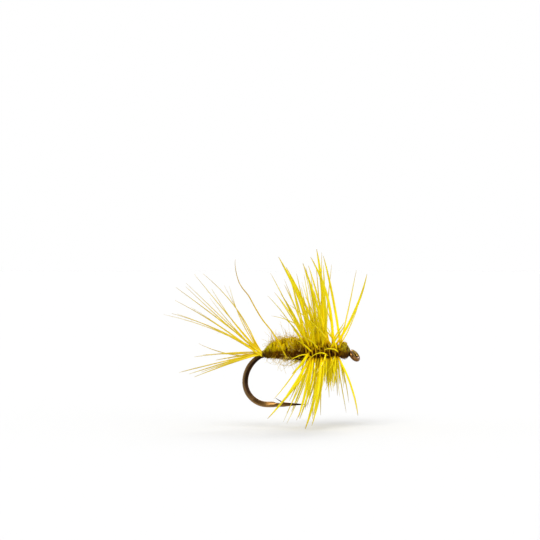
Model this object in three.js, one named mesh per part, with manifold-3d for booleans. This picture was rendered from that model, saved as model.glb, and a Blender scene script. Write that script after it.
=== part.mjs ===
// A dry fly tied on a forged, down-eye hook: the hook, its tying thread, a tail of loose
// barbs, a dubbed body and a cock hackle feather wound on edge over the thorax.
// Millimetres, +Z up, +X forward to the hook eye; the hook lies in the XZ plane.
//
// The design frame has x = 0 where the tail leaves the wire and z = 0 on the shank's axis.
// The exported group is shifted, so that the centre of the hook eye is the part's origin.
import * as THREE from "three";
import { mergeVertices } from "three/addons/utils/BufferGeometryUtils.js";
import Module from "manifold-3d";

const wasm = await Module();
wasm.setup();

const { clamp, degToRad, lerp, smoothstep } = THREE.MathUtils;

// ---- Driving dimensions: the hook ----
const WIRE_R = 0.205; // round wire of the shank
const FORGED_TALL = 0.24; // half height of the flattened wire in the bend
const FORGED_WIDE = 0.165; // half thickness between its two flats
const BEND_X = 1.03; // the straight shank ends here
const BEND_TOP_R = 2.4; // the bend is two quarter arcs, the upper one wider
const BEND_LOW_R = 1.82;
const SPEAR_Z = -BEND_TOP_R - BEND_LOW_R;
const SHANK_FRONT_X = 6.95;
const POINT_X = 3.57;
const FLATS_END_X = 0.95; // the forged flats run this far along the spear
const BARB_ROOT_X = 1.8;
const BARB_TIP = new THREE.Vector3(1.1, 0, -3.7);
const EYE_RING_R = 0.41; // centreline radius of the eye
const EYE_WIRE_R = 0.175; // the wire is drawn thinner to form the eye
const EYE_CENTRE = new THREE.Vector3(7.5, 0, -0.25);
const EYE_DOWN = degToRad(47); // turned down from the shank's line
const EYE_TWIST = degToRad(25); // and a little round its own long axis

// ---- Driving dimensions: thread, dubbing and feather ----
const SIDES = 12; // of every section wound on the shank
const GAP = 0.012; // running gap between two pieces that touch
const THREAD = 0.034; // thickness of one layer of thread
const TURN_PITCH = 0.09; // one turn of thread beside the next
const TAIL_WRAPS_X = [0.0, 0.42];
const BUTTS_END_X = 0.85; // the tail's butts end here, under the abdomen
const UNDERBODY_X = [BEND_X, 6.93];
const ABDOMEN_X = [0.22, 3.4];
const HACKLE_WRAPS_X = [3.415, 3.565];
const THORAX_X = [3.58, 6.24];
const HEAD_X = [6.34, 6.94];
const WHIP_X = [6.955, 7.04];
const TAIL_BARB_R = [0.021, 0.008]; // where it is tied in and at its tip
const QUILL_R = [0.055, 0.035]; // the feather's quill at its first and its last turn
const HACKLE_BARB_R = [0.052, 0.012]; // one hackle barb at its root and at its tip
const HACKLE_X = [3.52, 6.26]; // from the quill's first turn to its tie-off
const HACKLE_TURNS = 8;

// ---- Geometry helpers ----

// One closed skin over a row of rings. Each ring turns anticlockwise seen from the last one.
function loft(rings) {
  const sides = rings[0].length;
  const last = (rings.length - 1) * sides;
  const index = [];
  for (let row = 0; row < last; row += sides) {
    for (let i = 0; i < sides; i++) {
      const a = row + i;
      const b = row + ((i + 1) % sides);
      index.push(a, b, b + sides, a, b + sides, a + sides);
    }
  }
  for (let i = 1; i + 1 < sides; i++) {
    index.push(0, i + 1, i);
    index.push(last, last + i, last + i + 1);
  }
  return new THREE.BufferGeometry().setFromPoints(rings.flat()).setIndex(index);
}

function solidOf(geometry) {
  const bare = geometry.clone();
  bare.deleteAttribute("normal");
  bare.deleteAttribute("uv");
  const merged = mergeVertices(bare, 1e-5);
  const vertProperties = merged.getAttribute("position").array;
  const triVerts = new Uint32Array(merged.index.array);
  return new wasm.Manifold(new wasm.Mesh({ numProp: 3, vertProperties, triVerts }));
}

function geometryOf(solid) {
  const mesh = solid.getMesh();
  return new THREE.BufferGeometry()
    .setAttribute("position", new THREE.BufferAttribute(mesh.vertProperties, 3))
    .setIndex(new THREE.BufferAttribute(mesh.triVerts, 1));
}

// A tapering fibre along a row of points.
function fibre(points, [rootRadius, tipRadius], sides) {
  const last = points.length - 1;
  let across = new THREE.Vector3(0.31, 0.87, 0.39);
  const rings = points.map((point, i) => {
    const before = points[Math.max(i - 1, 0)];
    const along = points[Math.min(i + 1, last)].clone().sub(before).normalize();
    across = across.clone().projectOnPlane(along).normalize();
    const beside = along.clone().cross(across);
    const radius = lerp(rootRadius, tipRadius, i / last);
    return Array.from({ length: sides }, (_, k) => {
      const angle = (2 * Math.PI * k) / sides;
      return point
        .clone()
        .addScaledVector(across, radius * Math.cos(angle))
        .addScaledVector(beside, radius * Math.sin(angle));
    });
  });
  return loft(rings);
}

// A number from -1 to 1 that looks irregular and is always the same for the same input.
function scatter(number) {
  const wave = Math.sin(number * 12.9898 + 4.1414) * 437.585453;
  return 2 * (wave - Math.floor(wave)) - 1;
}

// Evenly spaced values from the first to the second.
function stations([from, to], count) {
  return Array.from({ length: count + 1 }, (_, i) => lerp(from, to, i / count));
}

// The height of the wire's centre above x, which falls once the bend begins.
function wireZ(x) {
  const past = Math.max(0, BEND_X - x);
  return Math.sqrt(BEND_TOP_R ** 2 - past ** 2) - BEND_TOP_R;
}

// A place beside the wire, in the plane across the fly at x: its distance from the wire's
// axis and its clock position, where 0 is straight up and a quarter turn is towards -Y. The
// wire's slope in the bend makes its upright section taller than it is wide.
function besideWire(x, out, clock) {
  const slope = Math.asin(Math.max(0, BEND_X - x) / BEND_TOP_R);
  const height = (out * Math.cos(clock)) / Math.cos(slope);
  return new THREE.Vector3(x, -out * Math.sin(clock), wireZ(x) + height);
}

// A ring of points across the fly, each at its clock position.
function ringOf(pointAt) {
  return Array.from({ length: SIDES }, (_, i) => pointAt((2 * Math.PI * i) / SIDES));
}

// A solid round the wire out to radiusAt(clock, x).
function sleeve(span, count, radiusAt) {
  const rings = stations(span, count).map((x) =>
    ringOf((clock) => besideWire(x, radiusAt(clock, x), clock)),
  );
  return solidOf(loft(rings));
}

// The space for the wire, and what is wound on it, through a piece that spans from and to.
function bore([from, to], radiusAt) {
  const count = from < BEND_X ? 6 : 1;
  return sleeve([from - 0.05, to + 0.05], count, radiusAt);
}

// ---- The hook: one length of steel wire ----

const HOOK_SIDES = 16;

function hookSection({ x, z, heading, tall, wide, flat }) {
  const along = new THREE.Vector3(Math.cos(heading), 0, Math.sin(heading));
  const inPlane = new THREE.Vector3(-along.z, 0, along.x);
  return Array.from({ length: HOOK_SIDES }, (_, i) => {
    const angle = (2 * Math.PI * (i + 0.5)) / HOOK_SIDES;
    const side = clamp(wide * Math.sin(angle), -flat, flat);
    return new THREE.Vector3(x, -side, z).addScaledVector(inPlane, tall * Math.cos(angle));
  });
}

const round = (radius) => ({ tall: radius, wide: radius, flat: radius });

// The wire's section where it is forged by this share of the full flattening.
function forged(share) {
  const tall = lerp(WIRE_R, FORGED_TALL, share);
  return { tall, wide: tall, flat: lerp(WIRE_R, FORGED_WIDE, share) };
}

// Places along one quarter arc of the bend, whose centre is at the height of the bend's middle.
function bendArc(centreX, radius, [from, to], forgingAt) {
  return stations([0, 1], 11).map((share) => {
    const angle = lerp(from, to, share);
    return {
      x: centreX + radius * Math.cos(angle),
      z: -BEND_TOP_R + radius * Math.sin(angle),
      heading: angle + Math.PI / 2,
      ...forged(forgingAt(share)),
    };
  });
}

// The wire from the eye's neck, back along the shank, round the bend and out to the point.
function hookWire() {
  const neck = EYE_CENTRE.clone().addScaledVector(eyeLine(), -EYE_RING_R);
  const shank = [
    { x: neck.x, z: neck.z, heading: Math.PI + 0.6, ...round(EYE_WIRE_R) },
    { x: 7.1, z: 0.02, heading: Math.PI + 0.2, ...round(0.18) },
    { x: SHANK_FRONT_X, z: 0, heading: Math.PI, ...round(WIRE_R) },
    { x: 4, z: 0, heading: Math.PI, ...round(WIRE_R) },
  ];
  const lowCentreX = BEND_X - BEND_TOP_R + BEND_LOW_R;
  const upper = bendArc(BEND_X, BEND_TOP_R, [Math.PI / 2, Math.PI], (share) =>
    smoothstep(share, 0.3, 0.7),
  );
  const lower = bendArc(lowCentreX, BEND_LOW_R, [Math.PI, 1.5 * Math.PI], () => 1);
  const spear = [
    [FLATS_END_X, forged(1)],
    [1.3, round(WIRE_R)],
    [1.75, round(0.2)],
    [2.64, round(0.1)],
    [3.05, round(0.062)],
    [POINT_X, round(0.012)],
  ].map(([x, section]) => ({ x, z: SPEAR_Z, heading: 2 * Math.PI, ...section }));
  // the two arcs share one place, so the first arc's last one is left out
  return loft([...shank, ...upper.slice(0, -1), ...lower, ...spear].map(hookSection));
}

function eyeLine() {
  return new THREE.Vector3(Math.cos(EYE_DOWN), 0, -Math.sin(EYE_DOWN));
}

function eyeRing() {
  const line = eyeLine();
  const upright = new THREE.Vector3(-line.z, 0, line.x);
  const side = new THREE.Vector3(0, Math.cos(EYE_TWIST), 0);
  side.addScaledVector(upright, Math.sin(EYE_TWIST));
  const basis = new THREE.Matrix4().makeBasis(line, side, line.clone().cross(side));
  return new THREE.TorusGeometry(EYE_RING_R, EYE_WIRE_R, 10, 22)
    .applyMatrix4(basis.setPosition(EYE_CENTRE));
}

// The barb is a sliver raised out of the spear, which points back up towards the bend.
function barbSliver() {
  const root = new THREE.Vector3(BARB_ROOT_X, 0, SPEAR_Z + 0.1);
  const middle = root.clone().lerp(BARB_TIP, 0.5).add(new THREE.Vector3(0, 0, 0.01));
  return fibre([root, middle, BARB_TIP], [0.085, 0.012], 8);
}

function hook() {
  const whole = solidOf(hookWire()).add(solidOf(eyeRing())).add(solidOf(barbSliver()));
  return geometryOf(whole);
}

// ---- Thread ----

// Thread turns side by side: the surface dips between one turn and the next.
function threadSwell(x, start) {
  return 0.25 * THREAD * Math.cos((2 * Math.PI * (x - start)) / TURN_PITCH);
}

// Turns of thread over the shank, side by side, above a core of the radius given.
function threadWraps(span, coreAt) {
  const turns = Math.round((span[1] - span[0]) / TURN_PITCH);
  const turned = sleeve(
    span,
    4 * turns,
    (clock, x) => coreAt(clock) + THREAD + threadSwell(x, span[0]),
  );
  return geometryOf(turned.subtract(bore(span, coreAt)));
}

const bareWire = () => WIRE_R + GAP;
const threadedWire = () => WIRE_R + THREAD + 2 * GAP;

// The tail's barbs lie in two layers on the upper part of the wire, none of them below it.
function tailBunch(clock) {
  const top = WIRE_R + 3 * GAP + 4 * TAIL_BARB_R[0];
  return lerp(bareWire(), top, smoothstep(Math.cos(clock), -0.75, -0.2));
}

// Thread wound straight on the shank, as a grip for all that is tied on later.
function underbody() {
  const wound = sleeve(UNDERBODY_X, 6, () => bareWire() + THREAD);
  return geometryOf(wound.subtract(bore(UNDERBODY_X, bareWire)));
}

// ---- Tail: loose barbs tied in by their butts ----

// Each barb, from the lowest to the steepest: how steeply it leaves, how steeply it ends,
// its length, and its swing to the side, in degrees and millimetres. Up is positive, and so
// is a swing towards -Y.
const TAIL = [
  [-17, -21, 5.8, 8],
  [-16, -18, 6.2, -5],
  [-14, -18, 5.2, 12],
  [-13, -14, 6.7, 3],
  [-12, -15, 7.1, -12],
  [-7, -12, 3.9, -9],
  [-6, 25, 5.7, -20],
  [0, -8, 5.5, 1],
  [1, -3, 5.0, -15],
  [32, 12, 8.6, 4],
  [32, 15, 8.1, -7],
  [33, 17, 8.0, -17],
  [38, 27, 8.6, 18],
  [38, 31, 7.1, 13],
  [39, 36, 8.75, -2],
  [39, 44, 8.2, 8],
  [41, 43, 8.7, -17],
  [42, 53, 6.3, 15],
  [45, 60, 6.6, 3],
  [48, 51, 8.4, -6],
  [53, 76, 6.0, 1],
  [62, 60, 6.3, -13],
  [70, 38, 8.1, -10],
];
const ON_WIRE = 14; // this many lie on the wire, and the rest on top of them

// Where a barb is tied in: its distance from the wire's axis and its clock position, so
// that the barbs of one layer sit in the order of their swing and don't cross.
function tailSeat(number) {
  const upper = number >= ON_WIRE;
  const layer = upper ? TAIL.slice(ON_WIRE) : TAIL.slice(0, ON_WIRE);
  const place = layer.filter(([, , , swing]) => swing < TAIL[number][3]).length;
  const reach = degToRad(upper ? 62 : 98);
  const lift = upper ? 2 * TAIL_BARB_R[0] + GAP : 0;
  return {
    out: WIRE_R + GAP + TAIL_BARB_R[0] + lift,
    clock: lerp(-reach, reach, place / (layer.length - 1)),
  };
}

// The butt runs straight along the wire under the wraps, and the rest sweeps out behind.
function tailBarb(number) {
  const [leaves, ends, length, swing] = TAIL[number];
  const { out, clock } = tailSeat(number);
  const butt = [BUTTS_END_X, 0.6, 0.35, 0.15, TAIL_WRAPS_X[0] - 0.02];
  const points = butt.map((x) => besideWire(x, out, clock));
  const side = degToRad(swing);
  const steps = 8;
  for (let i = 0; i < steps; i++) {
    const share = (i + 0.5) / steps;
    // it eases from the wire's line to its own within the first tenth
    const rise = degToRad(lerp(leaves, ends, share)) * Math.min(1, 0.6 + 4 * share);
    const flat = Math.cos(rise);
    const heading = [-flat * Math.cos(side), -flat * Math.sin(side), Math.sin(rise)];
    const step = new THREE.Vector3(...heading).multiplyScalar(length / steps);
    points.push(points.at(-1).clone().add(step));
  }
  return fibre(points, TAIL_BARB_R, 4);
}

// One long barb caught in the near side of the abdomen, which stands out backwards.
const STRAY_ROUTE = [
  [2.14, -0.58, -0.44],
  [1.95, -0.7, -0.3],
  [1.72, -0.78, 0.16],
  [1.4, -0.74, 0.78],
  [0.82, -0.66, 1.7],
  [0.01, -0.62, 2.72],
  [-0.64, -0.6, 3.8],
  [-1.08, -0.62, 4.6],
  [-1.59, -0.66, 5.25],
  [-1.88, -0.7, 5.76],
  [-2.09, -0.76, 6.49],
  [-2.18, -0.82, 7.15],
  [-2.16, -0.88, 7.58],
];

function strayBarb() {
  const points = STRAY_ROUTE.map((place) => new THREE.Vector3(...place));
  return fibre(points, [0.034, 0.014], 4);
}

// ---- Dubbed body and the head ----

// Each outline gives the top and the bottom of a piece at a few places along the shank.
const ABDOMEN_OUTLINE = new THREE.CubicInterpolant(
  [0.22, 0.5, 0.8, 1.3, 2.0, 2.7, 3.4],
  [0.25, -0.43, 0.45, -0.4, 0.66, -0.4, 0.83, -0.42, 0.95, -0.47, 1.02, -0.52, 0.88, -0.53],
  2,
);
const THORAX_OUTLINE = new THREE.CubicInterpolant(
  [3.58, 4.1, 5.0, 5.8, 6.24],
  [0.62, -0.42, 0.66, -0.46, 0.62, -0.42, 0.58, -0.4, 0.5, -0.36],
  2,
);
const HEAD_OUTLINE = new THREE.CubicInterpolant(
  [6.34, 6.5, 6.7, 6.94],
  [0.62, -0.36, 0.8, -0.42, 0.86, -0.45, 0.74, -0.43],
  2,
);
const WHIP_OUTLINE = new THREE.CubicInterpolant([6.955, 7.04], [0.64, -0.4, 0.5, -0.35], 2);
const WIDTH_SHARE = 0.94; // half width over half height

// A spindle along the shank inside an outline, with lumps where the dubbed rope turns.
function spindle(span, outline, count, lump, pitch) {
  const rings = stations(span, count).map((x) => {
    const [top, bottom] = outline.evaluate(x);
    return ringOf((clock) => {
      const swell = 1 + lump * Math.cos((2 * Math.PI * x) / pitch - clock);
      const tall = (swell * (top - bottom)) / 2;
      const y = -WIDTH_SHARE * tall * Math.sin(clock);
      return new THREE.Vector3(x, y, (top + bottom) / 2 + tall * Math.cos(clock));
    });
  });
  return solidOf(loft(rings));
}

// The fur starts over the front of the tail's wraps, so its bore steps out round them.
function abdomen() {
  const overWraps = (clock) => tailBunch(clock) + 1.25 * THREAD + GAP;
  const fur = spindle(ABDOMEN_X, ABDOMEN_OUTLINE, 20, 0.04, 0.62);
  return geometryOf(
    fur
      .subtract(bore(ABDOMEN_X, threadedWire))
      .subtract(bore([ABDOMEN_X[0], TAIL_WRAPS_X[1] - 0.03], overWraps))
      .subtract(bore([ABDOMEN_X[0], BUTTS_END_X - 0.03], tailBunch)),
  );
}

function thorax() {
  const fur = spindle(THORAX_X, THORAX_OUTLINE, 14, 0.025, 0.54);
  return geometryOf(fur.subtract(bore(THORAX_X, threadedWire)));
}

function head() {
  const wraps = spindle(HEAD_X, HEAD_OUTLINE, 14, 0.02, 2 * TURN_PITCH);
  return geometryOf(wraps.subtract(bore(HEAD_X, threadedWire)));
}

function whipFinish() {
  const wraps = spindle(WHIP_X, WHIP_OUTLINE, 6, 0.02, TURN_PITCH);
  return geometryOf(wraps.subtract(bore(WHIP_X, () => WIRE_R + 3 * GAP)));
}

// ---- Hackle: one feather, its quill wound round the thorax and its barbs standing out ----

// A place on the quill, by its share of the way from the first turn to the last. The turns
// lie closer together at the rear. Clock 0 is straight up, a quarter turn is towards -Y.
function quillPlace(share) {
  const x = lerp(...HACKLE_X, 0.6 * share + 0.4 * share ** 2);
  const [top, bottom] = THORAX_OUTLINE.evaluate(clamp(x, ...THORAX_X));
  const radius = ((top - bottom) / 2) * 1.03 + GAP + QUILL_R[0];
  const clock = 2 * Math.PI * HACKLE_TURNS * share;
  const outward = new THREE.Vector3(0, -Math.sin(clock), Math.cos(clock));
  const centre = new THREE.Vector3(x, 0, (top + bottom) / 2);
  return { outward, point: centre.addScaledVector(outward, radius) };
}

// The place on the quill that faces a clock position, on the turn nearest to x.
function quillNear(x, clock) {
  const turn = THREE.MathUtils.euclideanModulo(clock / (2 * Math.PI), 1);
  const places = Array.from({ length: HACKLE_TURNS }, (_, k) =>
    quillPlace((turn + k) / HACKLE_TURNS),
  );
  const miss = ({ point }) => Math.abs(point.x - x);
  return places.reduce((best, place) => (miss(place) < miss(best) ? place : best));
}

// Barbs that make the outline of the hackle. Each row: x of its root, then x, y and z of its
// tip, how far it bows towards the hook eye, and its thickness against the common one.
const OUTLINE_BARBS = [
  // upper side, from the rear to the front
  [3.6, 0.69, -2.5, 6.44, 0.1, 0.8],
  [3.7, 1.33, -0.6, 7.76, 0.4, 1.3],
  [4.9, 1.95, 0.9, 6.95, 0.1, 1.2],
  [3.65, 1.37, 5.2, 4.37, 0.1, 0.8],
  [3.8, 1.82, 3.9, 5.94, 0.1, 0.7],
  [3.75, 1.97, -5.4, 3.93, 0.1, 0.9],
  [3.6, 0.79, 4.8, 2.89, 0.6, 0.7],
  [3.6, 1.42, -5.2, 3.14, 0.4, 0.7],
  [4.1, 3.25, -1.6, 7.28, 0.2, 1.1],
  [4.0, 3.45, 3.6, 6.34, 0.1, 0.8],
  [4.25, 3.3, 4.4, 5.7, 0.1, 0.8],
  [4.4, 3.79, 2.2, 7.07, 0.15, 1],
  [4.7, 3.94, -1, 7.76, 0.3, 1.1],
  [4.55, 4.43, -0.3, 8.36, 0.15, 1.3],
  [4.9, 4.88, 1.2, 8.17, 0, 0.9],
  [5.0, 5.05, 2.6, 7.1, 0.1, 1],
  [5.1, 4.7, -2.9, 6.6, 0.2, 1.1],
  [6.2, 4.98, -0.9, 7.81, 0.45, 1.2],
  [5.5, 5.72, 2.2, 7.18, -0.1, 0.7],
  [6.2, 7.78, 2.6, 6.68, 0, 0.7],
  [6.25, 8.47, -1.5, 6.39, 0.35, 1],
  [6.2, 8.03, 4.8, 3.88, 0.2, 0.7],
  [5.6, 6.55, -4.8, 2.35, 0, 0.9],
  [5.9, 2.2, -4.4, 3.94, 0.3, 0.9],
  // near side, curving in front of the body
  [4.0, 2.36, -4.6, -0.5, 0.5, 1],
  [5.3, 3.74, -5, -0.69, 0.5, 1],
  [6.1, 5.0, -5.4, 0.1, 0.2, 1],
  // under side, from the rear to the front
  [4.3, 0.44, -2.2, -5.24, 0.1, 1.1],
  [4.0, 1.53, -4.2, -3.94, 0.1, 1],
  [3.8, 2.36, -4.6, -1.69, 0.1, 1.3],
  [3.9, 2.6, 5, -1.89, 0.1, 0.8],
  [3.85, 2.41, 3.6, -5.04, 0.1, 1],
  [4.1, 2.95, -3.4, -5.04, 0.1, 1.1],
  [4.4, 3.09, 2.6, -5.54, 0.1, 1],
  [4.7, 3.45, -2, -6.08, 0.2, 1.3],
  [4.2, 3.55, 3.7, -4.9, 0, 0.9],
  [5.0, 3.98, -2.6, -5.78, 0.2, 1.1],
  [4.6, 4.15, -3.8, -4.8, 0.1, 1],
  [4.9, 4.83, 3.3, -5.34, 0, 0.8],
  [6.1, 6.26, 4.4, -3.76, 0, 0.8],
  [6.0, 6.94, 3.6, -5.15, 0, 0.7],
  [6.1, 7.24, 4.4, -4.35, 0.1, 0.8],
  [6.25, 7.68, -3, -4.94, 0.3, 1],
  // short webby barbs below the front turns
  [5.2, 5.05, -0.8, -2.3, 0, 1.4],
  [5.4, 5.3, 0.9, -2.55, 0, 1.5],
  [5.6, 5.55, -0.4, -2.6, 0, 1.5],
  [5.75, 5.8, 1.2, -2.5, 0, 1.4],
  [5.9, 6.0, -1.2, -2.35, 0, 1.4],
];
// The rest fill both flanks: one barb at each of these clock positions in every turn.
const FLANK_CLOCKS = [58, 122, 236, 270, 304];

function hackleBarb(root, tip, bow, thickness) {
  const chord = tip.clone().sub(root);
  const forward = new THREE.Vector3(1, 0, 0).projectOnPlane(chord.clone().normalize());
  const bulge = root.clone().addScaledVector(chord, 0.5);
  bulge.addScaledVector(forward.normalize(), 2 * bow);
  const points = new THREE.QuadraticBezierCurve3(root, bulge, tip).getPoints(4);
  return solidOf(fibre(points, HACKLE_BARB_R.map((radius) => radius * thickness), 3));
}

function flankBarb(turn, clock) {
  const chance = (kind) => scatter(31.7 * turn + 0.113 * clock + 101.3 * kind);
  const swung = degToRad(clock + 11 * chance(1));
  const { outward, point } = quillNear(lerp(...HACKLE_X, turn / HACKLE_TURNS), swung);
  const lean = degToRad(lerp(-26, 16, turn / HACKLE_TURNS) + 8 * chance(2));
  const length = 6 + 0.5 * Math.cos(swung) + 0.6 * chance(3);
  const tip = point.clone().addScaledVector(outward, length * Math.cos(lean));
  tip.x += length * Math.sin(lean);
  return hackleBarb(point, tip, 0.2 + 0.15 * chance(4), 0.9 + 0.15 * chance(5));
}

function hackle() {
  const route = stations([0, 1], 13 * HACKLE_TURNS).map((share) => quillPlace(share).point);
  let whole = solidOf(fibre(route, QUILL_R, 5));
  for (const [rootX, x, y, z, bow, thickness] of OUTLINE_BARBS) {
    const { point } = quillNear(rootX, Math.atan2(-y, z));
    whole = whole.add(hackleBarb(point, new THREE.Vector3(x, y, z), bow, thickness));
  }
  for (let turn = 0.5; turn < HACKLE_TURNS; turn++) {
    for (const clock of FLANK_CLOCKS) {
      whole = whole.add(flankBarb(turn, clock));
    }
  }
  return geometryOf(whole.simplify(0.004));
}

// ---- Materials ----

const finish = (color, roughness, metalness = 0) =>
  new THREE.MeshStandardMaterial({ color, roughness, metalness });
const BRONZED_STEEL = finish(0x5a3a1e, 0.35, 0.9);
const OLIVE_THREAD = finish(0x5c5210, 0.7);
const GOLDEN_BARB = finish(0xd8b23c, 0.5);
const OLIVE_FUR = finish(0x7a6a12, 0.95);
const YELLOW_HACKLE = finish(0xe8d010, 0.45);

// ---- Assembly ----

const fly = new THREE.Group();

function place(name, geometry, material) {
  const mesh = new THREE.Mesh(geometry, material);
  mesh.name = name;
  fly.add(mesh);
}

place("hook", hook(), BRONZED_STEEL);
place("thread_underbody", underbody(), OLIVE_THREAD);
place("tail_tie_in_wraps", threadWraps(TAIL_WRAPS_X, tailBunch), OLIVE_THREAD);
for (let i = 0; i < TAIL.length; i++) {
  place(`tail_barb_${String(i + 1).padStart(2, "0")}`, tailBarb(i), GOLDEN_BARB);
}
place("stray_barb", strayBarb(), GOLDEN_BARB);
place("abdomen_dubbing", abdomen(), OLIVE_FUR);
place("hackle_tie_in_wraps", threadWraps(HACKLE_WRAPS_X, threadedWire), OLIVE_THREAD);
place("thorax_dubbing", thorax(), OLIVE_FUR);
place("hackle_feather", hackle(), YELLOW_HACKLE);
place("head_wraps", head(), OLIVE_THREAD);
place("whip_finish_wraps", whipFinish(), OLIVE_THREAD);

const part = new THREE.Group();
fly.position.copy(EYE_CENTRE).negate();
part.add(fly);

export default part;
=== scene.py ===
"""The looks of the dry fly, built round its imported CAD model.

Lengths are millimetres in the design frame until the last step of each piece: x = 0 is where
the tail leaves the wire, z = 0 is the shank's axis, +X points to the hook eye and +Z up.
row() turns them into metres in the row frame, whose origin is the centre of the hook eye.
Clock positions run round the shank: 0 is straight up and a quarter turn is towards -Y.
"""

import math

import bpy
import numpy as np
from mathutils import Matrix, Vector, noise


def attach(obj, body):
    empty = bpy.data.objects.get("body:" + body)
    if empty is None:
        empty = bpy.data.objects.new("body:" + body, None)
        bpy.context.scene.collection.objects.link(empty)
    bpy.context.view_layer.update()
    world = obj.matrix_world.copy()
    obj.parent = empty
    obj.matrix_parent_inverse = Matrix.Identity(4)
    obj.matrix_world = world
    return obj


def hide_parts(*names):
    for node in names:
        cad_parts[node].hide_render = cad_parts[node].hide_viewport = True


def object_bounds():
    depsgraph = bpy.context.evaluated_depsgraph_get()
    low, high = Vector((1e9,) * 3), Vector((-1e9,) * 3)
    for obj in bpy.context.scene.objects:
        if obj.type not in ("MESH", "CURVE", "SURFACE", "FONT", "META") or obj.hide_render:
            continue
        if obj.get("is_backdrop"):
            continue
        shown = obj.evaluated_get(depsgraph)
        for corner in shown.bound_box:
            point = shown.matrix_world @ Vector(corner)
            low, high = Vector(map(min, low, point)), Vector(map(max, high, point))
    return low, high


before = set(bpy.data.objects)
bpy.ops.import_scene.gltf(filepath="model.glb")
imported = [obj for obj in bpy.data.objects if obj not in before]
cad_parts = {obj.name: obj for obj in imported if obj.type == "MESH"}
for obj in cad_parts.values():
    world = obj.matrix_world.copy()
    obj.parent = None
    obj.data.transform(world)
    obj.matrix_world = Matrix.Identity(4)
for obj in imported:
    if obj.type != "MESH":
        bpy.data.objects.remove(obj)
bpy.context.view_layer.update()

MM = 0.001
EYE = np.array([7.5, 0.0, -0.25])
ALONG = np.array([1.0, 0.0, 0.0])
ACROSS = np.array([0.0, 1.0, 0.0])

# ---- The hook: the shank, forged bend, straight spear and point, and the eye ----
WIRE_R = 0.205
FORGED_TALL = 0.24
FORGED_WIDE = 0.165
SHANK_END_X = 6.95
BEND_X = 1.03
BEND_TOP_R = 2.4
BEND_LOW_R = 1.82
SPEAR_Z = -BEND_TOP_R - BEND_LOW_R
POINT_X = 3.57
BARB_CUT_X = (1.0, 1.12, 1.72, 1.74)
BARB_CUT_HEIGHT = (0.3, 0.14, 0.1, 0.3)
EYE_RING_R = 0.41
EYE_WIRE_R = 0.175
EYE_DOWN = math.radians(47)
EYE_TWIST = math.radians(25)

# ---- What is wound on it ----
THREAD_STRAND_R = 0.024
QUILL_R = (0.055, 0.035)
HACKLE_X = (3.52, 6.26)
HACKLE_TURNS = 8
# every body is a little narrower than it is tall
WIDTH_SHARE = 0.94

# Places along the shank, and the body's top and bottom there.
ABDOMEN = (
    (0.22, 0.5, 0.8, 1.3, 2.0, 2.7, 3.4),
    (0.25, 0.45, 0.66, 0.83, 0.95, 1.02, 0.88),
    (-0.38, -0.34, -0.34, -0.37, -0.43, -0.49, -0.53),
)
THORAX = (
    (3.58, 4.1, 5.0, 5.8, 6.24),
    (0.62, 0.66, 0.62, 0.58, 0.5),
    (-0.42, -0.46, -0.42, -0.4, -0.36),
)
HEAD = (
    (6.34, 6.5, 6.7, 6.94),
    (0.62, 0.8, 0.86, 0.74),
    (-0.36, -0.42, -0.45, -0.43),
)
WHIP = ((6.955, 7.04), (0.64, 0.5), (-0.4, -0.35))
# the thorax and the head as one, and the gap between the abdomen and the thorax
FRONT = tuple(THORAX[i] + HEAD[i] for i in range(3))
JOIN = tuple(ABDOMEN[i][-2:] + THORAX[i][:2] for i in range(3))


# ---- Mesh helpers ----


def row(points):
    """Design millimetres to metres in the row frame."""
    return (np.asarray(points, float) - EYE) * MM


def unit(vectors):
    return vectors / np.maximum(np.linalg.norm(vectors, axis=-1, keepdims=True), 1e-12)


def smooth_step(value, low, high):
    t = np.clip((value - low) / (high - low), 0.0, 1.0)
    return t * t * (3 - 2 * t)


def lerp(start, end, share):
    return start + (end - start) * share


def bezier(root, bulge, tip, count):
    """Points on a curve from root to tip, drawn aside towards the bulge."""
    t = np.linspace(0.0, 1.0, count)[:, None]
    return (1 - t) ** 2 * root + 2 * t * (1 - t) * bulge + t**2 * tip


def spline(points, count):
    """A Catmull-Rom curve through the points, resampled to a number of places."""
    p = np.asarray(points, float)
    p = np.vstack([2 * p[0] - p[1], p, 2 * p[-1] - p[-2]])
    place = np.linspace(0.0, len(p) - 3 - 1e-9, count)
    i = place.astype(int)
    t = (place - i)[:, None]
    a, b, c, d = (p[i + k] for k in range(4))
    squared = (2 * a - 5 * b + 4 * c - d) * t**2
    cubed = (3 * b - a - 3 * c + d) * t**3
    return 0.5 * (2 * b + (c - a) * t + squared + cubed)


def ring_frames(points, across):
    """Two directions across a tube at each point, carried along without a twist."""
    along = unit(np.gradient(points, axis=0))
    frames = np.empty_like(points)
    for i, direction in enumerate(along):
        across = unit(across - direction * (across @ direction))
        frames[i] = across
    return frames, np.cross(along, frames)


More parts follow.
